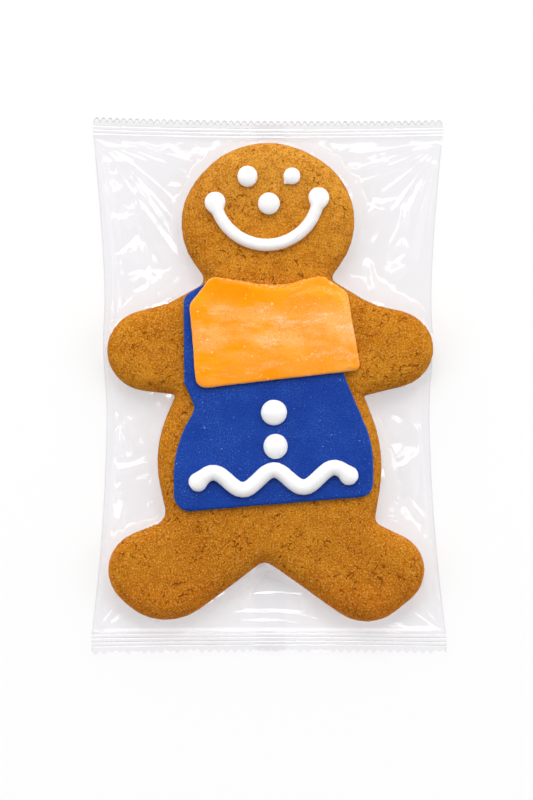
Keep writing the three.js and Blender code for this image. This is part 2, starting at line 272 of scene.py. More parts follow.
tabletop = Finish(bpy.data.materials.new("tabletop"))
opal_acrylic = {
    "Base Color": (0.52, 0.52, 0.52, 1),
    "Roughness": 0.9,
    "Specular IOR Level": 0.1,
    "Emission Color": (1, 1, 1, 1),
    "Emission Strength": 0.435,
}
table.data.materials.append(tabletop.principled(opal_acrylic))

# %% Tent
opening = 21  # degrees from straight up to the edge of the opening
opening_blur = 3
tent_light, opening_light = 0.98, 0.1
foot_share, head_share = 0.3, 1.25  # how bright the tent is past the feet and past the head

white_tent = Finish(bpy.data.worlds.new("tent"), place="Generated")
in_opening = white_tent.axis("Z").between(
    math.cos(math.radians(opening + opening_blur)), math.cos(math.radians(opening - opening_blur)))
lean = (head_share + foot_share) / 2 + white_tent.axis("Y") * ((head_share - foot_share) / 2)
glow = (tent_light - in_opening * (tent_light - opening_light)) * lean
cloth = white_tent.add("ShaderNodeBackground", None, {"Color": (1, 1, 1, 1), "Strength": glow})
bpy.context.scene.world = white_tent.surface(cloth, "ShaderNodeOutputWorld")
bpy.context.scene.view_settings.view_transform = "Standard"
print("opening:", opening, "degrees from straight up")

# %% Lamps and panels
lamp_distance = 3.2
lamps = [
    # name, azimuth, elevation, size, radiance, lights (True) or is only mirrored (False)
    ("light_past_the_head", 90, 46, (2.8, 1.6), 3.3, True),
    ("light_on_the_left", 180, 35, (1.8, 1.2), 1.7, True),
    ("light_on_the_right", 0, 35, (1.8, 1.2), 1.9, True),
    ("panel_head", 92, 58, (2.8, 1.6), 2.6, False),
    ("panel_head_left", 142, 57, (1.8, 1.2), 3.2, False),
    ("panel_head_right", 42, 57, (1.8, 1.2), 3.2, False),
    ("panel_crisp", 116, 57, (0.9, 0.5), 7, False),
]
for name, azimuth, elevation, size, radiance, lights in lamps:
    lamp = bpy.data.lights.new(name, "AREA")
    lamp.shape = "RECTANGLE"
    lamp.size, lamp.size_y = size
    lamp.energy = radiance * math.pi * size[0] * size[1]  # as bright a surface, whatever its size
    turn, tilt = math.radians(azimuth), math.radians(elevation)
    towards = Vector((math.cos(turn) * math.cos(tilt), math.sin(turn) * math.cos(tilt), math.sin(tilt)))
    box = bpy.data.objects.new(name, lamp)
    box.location = towards * lamp_distance
    box.rotation_euler = towards.to_track_quat("Z", "Y").to_euler()
    box.visible_diffuse = lights
    box.visible_glossy = not lights
    bpy.context.scene.collection.objects.link(box)
print("lamps:", len(lamps))

# %% [markdown]
# ## From a solid to a soft form
#
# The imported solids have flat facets. A copy is merged, cut into even small cells by a voxel remesh and
# smoothed a little, which rounds every facet and leaves a dense skin that can be dented by hand. The solids
# lie a hair apart, so the copy's underside then comes down until it touches what carries it.

# %% Refining a solid
same_place = 0.001 * MM
smoothing_rounds = 4
side_tilt = 0.2  # a face whose normal rises less than this belongs to the side or the underside
swell_noise = 0.6, 2.1, 3  # how fast finer layers fade, how much finer each is, layers


def refined(node, name, cell):
    """A dense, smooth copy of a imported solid, as a bmesh."""
    bm = bmesh.new()
    bm.from_mesh(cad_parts[node].data)
    bmesh.ops.remove_doubles(bm, verts=bm.verts, dist=same_place)
    rough = as_piece(name + "_rough", bm)
    remesh = rough.modifiers.new("cells", "REMESH")
    remesh.mode = "VOXEL"
    remesh.voxel_size = cell
    bm = bmesh.new()
    bm.from_object(rough, bpy.context.evaluated_depsgraph_get())
    bpy.data.objects.remove(rough)
    axes = {"use_axis_x": True, "use_axis_y": True, "use_axis_z": True}
    for _ in range(smoothing_rounds):
        bmesh.ops.smooth_vert(bm, verts=bm.verts, factor=0.5, **axes)
    bm.normal_update()
    print(name, "cells:", len(bm.faces))
    return bm


def seat(bm, drop, reach):
    """Lowers the faces that look down, and less of what is up to `reach` above them."""
    lowest = min(v.co.z for v in bm.verts)
    for v in bm.verts:
        if v.normal.z < side_tilt:
            nearness = 1 - min(1, (v.co.z - lowest) / reach)
            v.co.z -= drop * max(nearness, -v.normal.z)


def dent(bm, size, depth, seed, where=None):
    """Moves a skin in and out by soft noise of this size."""
    shift = far_off(seed, (17.3, 5.1, 9.7))
    for v in bm.verts:
        wave = noise.fractal(v.co / size + shift, *swell_noise)
        v.co += v.normal * (depth * wave * (where(v.co) if where else 1))
    bm.normal_update()


# %% [markdown]
# ## The biscuit
#
# Gingerbread rises a little and cracks as it bakes: its top is gently uneven, its edge is rounded and
# darker, and the crumb is full of pores. It also spreads sideways, and most at the hands. The spread and
# the swells are real shape. Pores and hair cracks are finer than a cell of the skin, so they are relief and
# colour in the finish.
# Some of the crust's colour is painted light and shade: paler towards the head, darker down the legs.

# %% Biscuit shape
biscuit_cell = 0.51 * MM
spread, hand_spread, right_hand_spread = 0.3 * MM, 0.35 * MM, 0.4 * MM
hand_start, hand_ramp = 36 * MM, 10 * MM  # from the midline outwards
hand_foot = -20 * MM  # below this are the legs

bm = refined("biscuit", "gingerbread", biscuit_cell)
seat(bm, drop=0.35 * MM, reach=2 * MM)
biscuit_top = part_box("biscuit")[1].z
for v in bm.verts:
    hand = share((abs(v.co.x) - hand_start) / hand_ramp) if v.co.y > hand_foot else 0
    right_hand = hand if v.co.x > 0 else 0
    v.co.x += v.normal.x * (spread + hand_spread * hand + right_hand_spread * right_hand)
    v.co.y += v.normal.y * spread


def on_top(at):
    """0 up to a fifth of the biscuit's height, and 1 from about half of it."""
    return share(at.z / biscuit_top * 3 - 0.6)


dent(bm, 16 * MM, 0.16 * MM, SEED, where=on_top)
dent(bm, 3.2 * MM, 0.05 * MM, SEED + 1, where=on_top)
gingerbread = as_piece("gingerbread", bm)

# %% Biscuit finish
crust = Finish(bpy.data.materials.new("gingerbread_crust"))
level, along, across = crust.axis("Z"), crust.axis("Y"), crust.axis("X")
patches = crust.grain(16 * MM, detail=3)
coarse = crust.grain(5 * MM, detail=3)
mottle = crust.grain(2.6 * MM, detail=4, roughness=0.6)
crumb = crust.grain(0.54 * MM, detail=4, roughness=0.7)
fibre = crust.grain(0.5 * MM, base=crust.shifted(0.8 * MM, 1.1 * MM))
flour = crust.grain(1.3 * MM, base=crust.shifted(1 * MM, 2 * MM)).between(0.7, 0.76)
pits = crust.grain(1.0 * MM, base=crust.shifted(1.5 * MM, 1.3 * MM)).between(0.65, 0.73)
cracks = crust.cell_edges(2.6 * MM, base=crust.shifted(2.4 * MM, 2.2 * MM)).between(0.07, 0.01)
cracks = cracks * crust.grain(1.9 * MM, detail=1).between(0.54, 0.61)  # keeps them short
cracks = cracks * crust.grain(9 * MM, detail=1).between(0.47, 0.55)  # and gathers them in groups

on_the_head = along.between(34 * MM, 44 * MM)
# painted light: the legs' upper edge, which turns away from the lamp past the head, is made paler
legs_edge_painted_light = level.between(8.2 * MM, 5.5 * MM) * along.between(-40 * MM, -56 * MM)
dough = crust.blend(patches.between(0.3, 0.7), colour(190, 117, 16), colour(207, 136, 27))
body = crust.painted(dough, [
    # where and how strongly, colour
    # Painted light and shade: the crust is painted paler towards the head, which faces the lamp past it,
    # and darker down the legs but paler again at their tips. The head is also painted paler on its right and
    # darker on its left.
    (along.between(22 * MM, 42 * MM) * 0.6, (216, 143, 34)),
    (along.between(45 * MM, 72 * MM) * 0.6, (230, 168, 66)),
    (along.between(-30 * MM, -50 * MM) * 0.25, (162, 94, 10)),
    (along.between(-56 * MM, -68 * MM) * 0.35, (204, 106, 16)),
    (across.between(8 * MM, 22 * MM) * on_the_head * 0.4, (226, 158, 52)),
    (across.between(-8 * MM, -22 * MM) * on_the_head * 0.25, (172, 96, 10)),
    # The edge is browner, partly from the bake and partly as painted shade where it rounds away from the
    # light.
    # Along the legs it is painted paler again, painted light where it faces away from the lamp past the head.
    # It is darkest where it lay on the tray.
    (level.between(7.4 * MM, 3.2 * MM) * 0.3, (196, 100, 12)),
    (legs_edge_painted_light * 0.5, (240, 140, 44)),
    (level.between(2.8 * MM, 0.8 * MM) * 0.8, (92, 44, 6)),
    # Blotches, the lit and the shaded sides of the crumb, and what lies on it or opens in it.
    (coarse.between(0.56, 0.4) * 0.25, (168, 96, 8)),
    (mottle.between(0.55, 0.36) * 0.45, (160, 88, 8)),
    (crumb.between(0.5, 0.63) * 0.65, (224, 167, 82)),
    (crumb.between(0.5, 0.37) * 0.62, (156, 74, 0)),
    (fibre.between(0.44, 0.3) * 0.45, (150, 70, 0)),
    (flour * 0.3, (240, 196, 128)),
    (pits * 0.6, (120, 44, 0)),
    (cracks * 0.75, (126, 48, 0)),
])
pores = crumb * 0.5 + fibre * 0.4 - pits * 0.6 - cracks * 0.9
crust_look = {
    "Base Color": body,
    "Roughness": 0.85,
    "Specular IOR Level": 0.04,
    "Normal": crust.bump(pores, 0.3 * MM),
}
gingerbread.data.materials.append(crust.principled(crust_look))
print("crust nodes:", len(crust.tree.nodes))

# %% [markdown]
# ## Rolled icing
#
# The two panels are cut from rolled sugar icing a millimetre and a half thick, satin smooth with soft cut
# edges. The icing sugar that they were rolled in is left on them: fine grains and specks on the blue, and
# on the orange a thin veil with streaks and specks. At the neck the orange sheet was torn, which leaves a
# ragged edge.

# %% Panel shapes
panel_cell = 0.36 * MM
cut_tilt, cut_slope = 0.9, 2  # where the face turns over into the cut edge


def panel(node, name, seed):
    """A rolled sheet. The attribute "cut" is 1 on its edge and 0 on its face."""
    bm = refined(node, name, panel_cell)
    seat(bm, drop=0.33 * MM, reach=0.8 * MM)
    dent(bm, 9 * MM, 0.12 * MM, seed)
    dent(bm, 2.2 * MM, 0.035 * MM, seed + 1)
    cut = bm.verts.layers.float.new("cut")
    for v in bm.verts:
        v[cut] = share((cut_tilt - v.normal.z) * cut_slope)
    return as_piece(name, bm)


blue_sheet = panel("blue_panel", "blue_sheet", SEED + 2)
orange_sheet = panel("orange_panel", "orange_sheet", SEED + 4)

# %% The torn edge at the neck
neck_level, neck_middle, neck_half = 28 * MM, 2 * MM, 17 * MM  # here the orange sheet was torn, not cut
tear_size, tear_depth = 1.1 * MM, 0.3 * MM
tear_tilt, tear_slope = 0.6, 4  # only the edge that faces the head is torn
tear_noise = 0.6, 2.0, 2  # as for swell_noise

torn = orange_sheet.data.attributes.new("torn", "FLOAT", "POINT")
for v in orange_sheet.data.vertices:
    if v.co.y > neck_level and abs(v.co.x - neck_middle) < neck_half:
        raggedness = share((v.normal.y - tear_tilt) * tear_slope)
        torn.data[v.index].value = raggedness
        v.co += v.normal * (raggedness * tear_depth * noise.fractal(v.co / tear_size, *tear_noise))
print("torn points:", sum(point.value > 0 for point in torn.data))

# %% Blue finish
blue = Finish(bpy.data.materials.new("blue_rolled_icing"))
cloudy = blue.grain(8 * MM, detail=4).between(0.3, 0.7)
fine = blue.grain(0.45 * MM, detail=3, roughness=0.7)
patchy = blue.grain(10 * MM, detail=3).between(0.42, 0.62)
specks = blue.grain(0.9 * MM, detail=1).between(0.72, 0.78)
body = blue.painted(blue.blend(cloudy, colour(8, 54, 146), colour(12, 62, 156)), [
    # where and how strongly, colour
    (fine.between(0.48, 0.62) * (0.2 + patchy * 0.3), (64, 104, 186)),
    (fine.between(0.5, 0.36) * 0.4, (2, 40, 124)),
    (specks * (0.25 + patchy * 0.5), (150, 178, 224)),
    (blue.attribute("cut") * 0.45, (34, 98, 190)),
])
blue_look = {
    "Base Color": body,
    "Roughness": 0.6,
    "Specular IOR Level": 0.1,
    "Normal": blue.bump(fine, 0.1 * MM),
}
blue_sheet.data.materials.append(blue.principled(blue_look))

# %% Orange finish
orange = Finish(bpy.data.materials.new("orange_rolled_icing"))
along = orange.axis("Y")
dusted = along.between(30 * MM, 19 * MM) * (1 - along.between(14 * MM, 8 * MM) * 0.7)
to_right = orange.axis("X").between(-8 * MM, 26 * MM)
cloudy = orange.grain(10 * MM).between(0.35, 0.65)
fine = orange.grain(0.5 * MM, detail=3, roughness=0.75)
veil = orange.grain(7 * MM, detail=4, roughness=0.6, base=orange.stretched(0.55)).between(0.36, 0.64)
veil = (0.02 + veil * 0.5) * (0.03 + dusted * 0.97) + to_right * (0.07 + dusted * 0.1)
streaks = orange.grain(4.5 * MM, detail=4, roughness=0.65, base=orange.stretched(0.3, turn=0.12))
sugar = streaks.between(0.52, 0.66) * fine.between(0.36, 0.6) * (0.1 + dusted * 0.9)
specks = orange.grain(1.1 * MM, detail=1).between(0.71, 0.77)
cut_edge, torn_edge = orange.attribute("cut"), orange.attribute("torn")
body = orange.painted(orange.blend(cloudy, colour(255, 149, 0), colour(254, 158, 4)), [
    # where and how strongly, colour
    (veil * (0.45 + fine.between(0.35, 0.65) * 1.1), (252, 196, 124)),
    (sugar * 0.75, (253, 216, 170)),
    (specks * 0.6, (255, 226, 190)),
    (cut_edge * 0.3, (255, 178, 64)),
    (cut_edge * fine.between(0.42, 0.6) * 0.6, (255, 214, 156)),
    (torn_edge * orange.grain(0.9 * MM).between(0.6, 0.4) * 0.8, (226, 112, 4)),
    (torn_edge * fine.between(0.56, 0.66) * 0.7, (255, 214, 130)),
])
orange_look = {
    "Base Color": body,
    "Roughness": 0.6,
    "Specular IOR Level": 0.04,
    "Normal": orange.bump(orange.grain(0.7 * MM, detail=3), 0.1 * MM),
}
orange_sheet.data.materials.append(orange.principled(orange_look))
print("icing sugar nodes:", len(blue.tree.nodes), "on the blue and", len(orange.tree.nodes), "on the orange")

# %% [markdown]
# ## Piped icing
#
# Royal icing is piped soft and levels itself before it sets: round drops for the eyes, nose and buttons,
# and beads for the smile and the hem. It is white with a soft shine, and a little light passes through it.

# %% Piped icing
icing_cell = 0.24 * MM
piped_nodes = "eye_left", "eye_right", "nose", "smile", "button_upper", "button_lower", "hem_wave"

white = Finish(bpy.data.materials.new("white_piped_icing"))
cloudy = white.grain(5 * MM).between(0.3, 0.7)
white_look = {
    "Base Color": white.blend(cloudy, colour(251, 252, 249), colour(247, 248, 245)),
    "Roughness": 0.38,
    "Specular IOR Level": 0.4,
    "Subsurface Weight": 0.6,
    "Subsurface Radius": (1, 0.9, 0.8),
    "Subsurface Scale": 1.3 * MM,
    "Normal": white.bump(white.grain(1.5 * MM), 0.03 * MM),
}
white_icing = white.principled(white_look)

piped = {}
for number, node in enumerate(piped_nodes):
    bm = refined(node, "piped_" + node, icing_cell)
    seat(bm, drop=0.4 * MM, reach=0.6 * MM)
    dent(bm, 2.6 * MM, 0.05 * MM, SEED + 10 + number)
    piped[node] = as_piece("piped_" + node, bm)
    piped[node].data.materials.append(white_icing)

# %% [markdown]
# ## The bag
#
# A flow-wrap bag is one tube of thin film, closed by a fin seal down its back and crimped flat at both
# ends. The upper film hangs like a tent on what is in the bag, and the lower film lies on the table. Each
# is a grid whose rows run across the bag, closer together in the seals. The knife between two bags leaves a
# toothed edge, scalloped at the head of this one and pointed at its foot.

# %% The bag's measures
half_length = 84.95 * MM
waist_half, head_half, foot_half = 50.7 * MM, 54.9 * MM, 55.8 * MM
waist_shift, foot_shift = -0.5 * MM, -0.2 * MM
hand_bulge, hand_place, hand_reach = 1.1 * MM, 12 * MM, 12 * MM  # the hands push the bag's sides out
tooth = 1.45 * MM
tooth_root = 0.12  # the film between two teeth reaches out by this share of their length
seal_inner = 77.8 * MM
seal_outer = half_length - tooth  # the roots of the teeth
seal_width = seal_outer - seal_inner
seal_level, side_level, lower_level = 1.2 * MM, 0.9 * MM, 0.42 * MM
bow_reach = 9 * MM  # how far inside a seal its bow dies out
grooves, rows_a_groove, tooth_rows = 4, 10, 4
columns_a_scallop, columns_a_point = 5, 6
columns = 260
row_crowding = 0.25  # rows lie this share closer together at the ends of the pillow
end_rows = grooves * rows_a_groove + tooth_rows
print("bag:", round(2 * half_length / MM, 1), "mm long,", round(2 * foot_half / MM, 1), "mm wide at the foot")

# %% The bag's plan
def by_end(rows, at_head, at_foot):
    """One value for the head's half of the bag and another for the foot's."""
    return np.where(rows > 0, at_head, at_foot)


def half_width(y):
    """Half the bag's width at a place along it."""
    by_the_hands = hand_bulge * bell(y - hand_place, hand_reach)
    widening = (by_end(y, head_half, foot_half) - waist_half) * shares(np.abs(y) / seal_inner) ** 2
    return waist_half + widening + by_the_hands


def middle(y):
    """Where the bag's midline lies, as it is a little askew."""
    return waist_shift + (foot_shift - waist_shift) * shares(-y / seal_inner)


def row_places(pillow_rows):
    """Where a film's rows lie along the bag, from its foot to its head, before it is cut."""
    outward = np.linspace(seal_inner, seal_outer, end_rows - tooth_rows, endpoint=False)
    outward = np.concatenate([outward, np.linspace(seal_outer, half_length, tooth_rows + 1)])
    even = np.linspace(-1, 1, pillow_rows + 1)[1:-1]
    between = seal_inner * (even + row_crowding * np.sin(np.pi * even) / np.pi)
    return np.concatenate([-outward[::-1], between, outward])[:, None]


def tooth_shape(rows):
    """How far each column's film reaches past the roots of the teeth, as a share of their length."""
    place = np.arange(columns + 1)[None, :]
    scallop = np.sin(np.pi * (place / columns_a_scallop % 1))
    point = 1 - np.abs(2 * (place / columns_a_point % 1) - 1)
    return tooth_root + (1 - tooth_root) * by_end(rows, scallop, point)


def plan(rows):
    """Where a film's points lie, seen from above. The seals bow: their ends reach further out."""
    across = np.linspace(-1, 1, columns + 1)[None, :]
    reach = np.minimum(np.abs(rows), seal_outer)
    into = shares((reach - seal_inner) / seal_width)
    # The bows of a seal's inner and outer line, in millimetres.
    head_bows = 0.9 * across ** 2 - 0.1 * across, -0.45 * (1 + across) - 0.75 * (1 - across ** 2)
    foot_bows = 0.3 * across ** 2 - 0.3, -0.75 - 0.15 * across - 0.65 * (1 - across ** 2)
    inner_bow, outer_bow = (by_end(rows, head, foot) for head, foot in zip(head_bows, foot_bows))
    near = shares(1 - (seal_inner - reach) / bow_reach) ** 2
    bow = (inner_bow + (outer_bow - inner_bow) * into) * near * MM
    y = np.sign(rows) * (reach + bow + np.maximum(0, np.abs(rows) - seal_outer) * tooth_shape(rows))
    return middle(rows) + half_width(rows) * across, y


# %% The upper film's grid
pillow_rows = 288
upper_rows = row_places(pillow_rows)
upper_x, upper_y = plan(upper_rows)
pillow = slice(end_rows, end_rows + pillow_rows + 1)
film_x, film_y = upper_x[pillow], upper_y[pillow]
print("upper film's grid:", upper_x.shape)

# %% [markdown]
# The film's lowest possible height is the top of what is in the bag. Rays cast straight down find it. From
# there a tight sheet settles: each free point moves to the mean of its neighbours, first on a coarse grid,
# then finer.

# %% What the film rests on
contents = [gingerbread, blue_sheet, orange_sheet, *piped.values()]
trees = [BVHTree.FromObject(piece, bpy.context.evaluated_depsgraph_get()) for piece in contents]
ceiling = 30 * MM


def top_at(x, y):
    """How high the contents reach at a place, or 0 beside them."""
    hits = (tree.ray_cast(Vector((x, y, ceiling)), Vector((0, 0, -1)))[0] for tree in trees)
    return max((hit.z for hit in hits if hit), default=0.0)


tops = np.array([[top_at(x, y) for x, y in zip(xs, ys)] for xs, ys in zip(film_x, film_y)])
print("highest thing in the bag:", round(tops.max() / MM, 2), "mm")

# %% Working on a sheet
def noise_field(size, seed, octaves=1):
    """Soft noise over the film, with features of this size in millimetres."""
    shift = far_off(seed, (3.1, 7.7, 1.3))
    scale = 1 / (size * MM)
    flat = [noise.fractal(Vector((x * scale, y * scale, 0)) + shift, 0.7, 2.0, octaves)
            for x, y in zip(film_x.ravel(), film_y.ravel())]
    return np.array(flat).reshape(film_x.shape)


def mean_of_neighbours(field):
    """Each inner point moves four fifths of the way to the mean of its four neighbours."""
    inner = (field[:-2, 1:-1] + field[2:, 1:-1] + field[1:-1, :-2] + field[1:-1, 2:]) / 4
    result = field.copy()
    result[1:-1, 1:-1] = 0.8 * inner + 0.2 * field[1:-1, 1:-1]
    return result


def doubled(coarse):
    """The same sheet on a grid twice as fine."""
    fine = np.zeros((2 * coarse.shape[0] - 1, 2 * coarse.shape[1] - 1))
    fine[::2, ::2] = coarse
    fine[1::2, ::2] = (coarse[:-1] + coarse[1:]) / 2
    fine[:, 1::2] = (fine[:, :-2:2] + fine[:, 2::2]) / 2
    return fine


# %% The sheet settles
clearance = 0.15 * MM  # between the film and what it rests on
bed_level = 0.8 * MM
# Along the sides the two films lie pressed together in a strip, which narrows to this share of its width over
# this distance from a seal.
strip_width, strip_taper, strip_least = 2.3 * MM, 33 * MM, 0.03
seal_ramp = 6 * MM  # how far from a seal the sides begin to rise to it
edge = 0.01 * MM
cling = 0.4 / MM  # how sharply the film turns down beside the biscuit, as the air has been pressed out
cling_patch, cling_doublings = 17, 5  # the cling differs from patch to patch, by this power of two at most
coarse_to_fine = (4, 1600), (2, 400), (1, 120)  # which points of the grid (each fourth, say), rounds

to_side = half_width(upper_rows[pillow]) - np.abs(film_x - middle(upper_rows[pillow]))
to_seal = seal_inner - np.abs(upper_rows[pillow]) + 0 * film_x
side_strip = strip_width * np.clip(to_seal / strip_taper, strip_least, 1)
held = (to_side <= side_strip) & (tops == 0) | (to_side <= edge) | (to_seal <= edge)
held_level = side_level + (seal_level - side_level) * shares(1 - to_seal / seal_ramp)
lowest = np.where(tops > 0, tops + clearance, bed_level)
spacing = 2 * waist_half / columns
pull = cling * spacing ** 2 / 4 * 2 ** (cling_doublings * noise_field(cling_patch, SEED + 6))
tent = None
for step, rounds in coarse_to_fine:
    pinned, level, floor = held[::step, ::step], held_level[::step, ::step], lowest[::step, ::step]
    load = pull[::step, ::step] * step ** 2
    tent = floor if tent is None else doubled(tent)
    for _ in range(rounds):
        tent = np.where(pinned, level, np.maximum(mean_of_neighbours(tent) - load, floor))
print("film rises to:", round(tent.max() / MM, 2), "mm")

# %% [markdown]
# Stiff film doesn't drape in soft folds. Slack film breaks into flat facets with sharp edges, and at the
# corners, where it is gathered into a seal, it stands in long pleats that fan out from one point. All of it
# fades out where the film is tight over the biscuit. Three kinds of fold make the relief: pleats, creases
# and facets.

# %% Where the film is slack
slack_rounds = 6
slack = (tops == 0).astype(float)
for _ in range(slack_rounds):
    slack = mean_of_neighbours(slack)
slack = shares(slack * 1.8 - 0.8)  # 0 on the contents and just beside them


def inside(side_reach, seal_reach, strip=0):
    """0 at the film's sides and seals, rising to 1 this far inside them."""
    return shares((to_side - strip) / side_reach) * shares(to_seal / seal_reach)


by_the_edge = inside(0.9 * MM, 0.9 * MM)
off_the_strip = inside(1.5 * MM, 1.2 * MM, side_strip)
well_inside = inside(4 * MM, 7 * MM, side_strip)
print("slack film:", round(100 * slack.mean()), "% of the points")


# %% Kinds of fold
least_side = 0.5  # a fold's side is at least this wide, in millimetres
least_side_turn = 20  # but near the corner, where that would be too wide, this many degrees are enough
fan_fade, crease_fade = 0.4, 0.2  # shares of their length over which folds die out
crease_rise = 0.65  # a crease's height as a share of its width
head_side = 0.35  # a facet's side that faces the head by more than this is its gentle one


def fan(corner, folds):
    """Film that is gathered into one point stands in folds that run out from it. A fold has its angle, the
    widths of its two sides in degrees, clockwise side first, the slope of its steep side, its reach, and how
    many degrees it swerves for each 10 mm."""
    dx, dy = film_x / MM - corner[0], film_y / MM - corner[1]
    away = np.maximum(np.hypot(dx, dy), 0.1)
    angle = np.degrees(np.arctan2(dy, dx)) % 360
    relief = np.zeros(film_x.shape)
    for turn, before, after, slope, reach, swerve in folds:
        off = angle - turn - swerve * away / 10
        narrowest = np.minimum(np.degrees(least_side / away), least_side_turn)
        before, after = np.maximum(before, narrowest), np.maximum(after, narrowest)
        height = slope * np.radians(np.minimum(before, after)) * away
        strip = shares(np.minimum(1 + off / before, 1 - off / after))
        relief += strip * height * shares((reach - away) / (fan_fade * reach))
    return relief * MM


def crease(route, width):
    """A low ridge along a route of places, in millimetres. It dies out at both ends."""
    places = [np.array(place, dtype=float) for place in route]
    lengths = [np.linalg.norm(b - a) for a, b in zip(places, places[1:])]
    total, done = sum(lengths), 0.0
    nearest = np.full(film_x.shape, np.inf)
    along = np.zeros(film_x.shape)
    for a, b, length in zip(places, places[1:], lengths):
        dx, dy = film_x / MM - a[0], film_y / MM - a[1]
        t = shares((dx * (b - a)[0] + dy * (b - a)[1]) / length ** 2)
        away = np.hypot(dx - t * (b - a)[0], dy - t * (b - a)[1])
        along = np.where(away < nearest, (done + t * length) / total, along)
        nearest = np.minimum(away, nearest)
        done += length
    ends = shares(along / crease_fade) * shares((1 - along) / crease_fade)
    return bell(nearest, width) * ends * crease_rise * width * MM


def facet(corners, slope, back=0.75):
    """A flat facet that leans towards the head of the bag, with steep folds round the rest of it. Its
    corners go counter-clockwise, in millimetres."""
    height = np.full(film_x.shape, np.inf)
    for (ax, ay), (bx, by) in zip(corners, corners[1:] + corners[:1]):
        length = math.hypot(bx - ax, by - ay)
        inside_by = ((bx - ax) * (film_y / MM - ay) - (by - ay) * (film_x / MM - ax)) / length
        faces_head = (ax - bx) / length > head_side
        height = np.minimum(height, inside_by * (slope if faces_head else back))
    return np.maximum(height, 0) * MM


# %% Fans at the corners
fans = [
    # corner, then for each fold: angle, widths of its sides, slope, reach, swerve
    ((-55.3, 78.3), [
        (352, 4, 2, 0.3, 34, -2), (345, 7, 2, 0.22, 40, -2), (337, 3, 3, 0.25, 22, -1),
        (328, 5, 2.4, 0.32, 54, -2), (321, 6, 1.6, 0.25, 44, -2), (315, 4, 2.4, 0.34, 54, -1.7),
        (306, 5, 3, 0.34, 72, -0.3), (299, 4, 5, 0.24, 40, 0), (291, 6, 2, 0.2, 30, 0),
        (283, 2, 2.4, 0.3, 70, -0.6), (277, 3, 2, 0.25, 76, -0.4),
    ]),
    ((54.2, 77.2), [
        (188, 2, 3, 0.3, 32, 0), (193, 2, 4, 0.22, 24, 0), (198, 2.4, 4, 0.3, 38, 0),
        (207, 3, 5, 0.22, 26, -1), (217, 2.4, 1.6, 0.36, 44, -3.6), (226, 3, 6, 0.24, 30, -2),
        (235, 2, 4, 0.32, 36, 0), (244, 2.4, 5, 0.3, 52, 0), (251, 2, 4, 0.28, 40, 1),
        (258, 2.4, 4, 0.3, 36, 1), (264, 2, 3, 0.25, 70, 1), (269, 2, 2, 0.22, 60, 1),
    ]),
    ((-55.6, -78.0), [
        (31, 12, 6, 0.34, 44, 0), (49, 11, 6, 0.36, 48, 0), (64, 6, 4, 0.25, 30, 0), (77, 6, 4, 0.3, 60, 1),
    ]),
    ((55.4, -78.0), [
        (103, 4, 6, 0.3, 60, -1), (114, 4, 6, 0.25, 30, 0), (130, 6, 11, 0.36, 48, 0),
        (147, 6, 12, 0.34, 44, 0),
    ]),
]
fan_relief = sum(fan(*shape) for shape in fans)
print("folds in fans:", sum(len(folds) for _, folds in fans))

# %% Creases
creases = [
    # route, width
    ([(-49, 41), (-49.4, 34), (-49.2, 18)], 0.8),
    ([(-47, 76.8), (-43, 75.2), (-40, 76.2), (-35.5, 74), (-31, 76)], 0.9),
    ([(-34, 31), (-37, 28.5), (-41, 28)], 1.1),
    ([(-23.5, 75), (-21.5, 72), (-21.5, 68)], 0.9),
    ([(-50, -1), (-48.8, -4), (-48.9, -7.5)], 0.7),
    ([(-49.8, -8.5), (-47.5, -10.5)], 0.9),
    ([(-50, -24), (-47.5, -26), (-43, -25.2), (-37, -23)], 1.1),
    ([(24, 65.8), (28.5, 65)], 0.8),
    ([(28.5, 65), (26.5, 61), (26.6, 56.5)], 0.9),
    ([(30.5, 40.5), (32, 34), (34, 28)], 1.2),
    ([(38, -25.6), (42, -25.2), (45.5, -22), (48, -19.5), (49.3, -24.5)], 1.0),
    ([(42.5, -34), (45.5, -38), (49, -42)], 0.8),
    ([(49, 2), (49, -6)], 0.7),
    ([(-8, -65.5), (3, -65), (15, -66)], 0.4),
    ([(-22, -73.3), (-9, -71.3), (2, -71.2), (9, -72), (21, -75)], 1.0),
    ([(-34, -75.6), (-17, -74.3), (-8, -73.9), (4, -74), (10, -75), (20, -76.6)], 1.0),
    ([(12, -74.2), (25, -75.3), (38, -77)], 0.9),
    ([(34.5, -76), (40, -75.3), (43, -76.6), (50, -76.2), (55, -77.8)], 0.8),
    ([(-36, -76.6), (-25, -75.6)], 0.8),
]
crease_relief = sum(crease(*shape) for shape in creases)
print("creases:", len(creases))

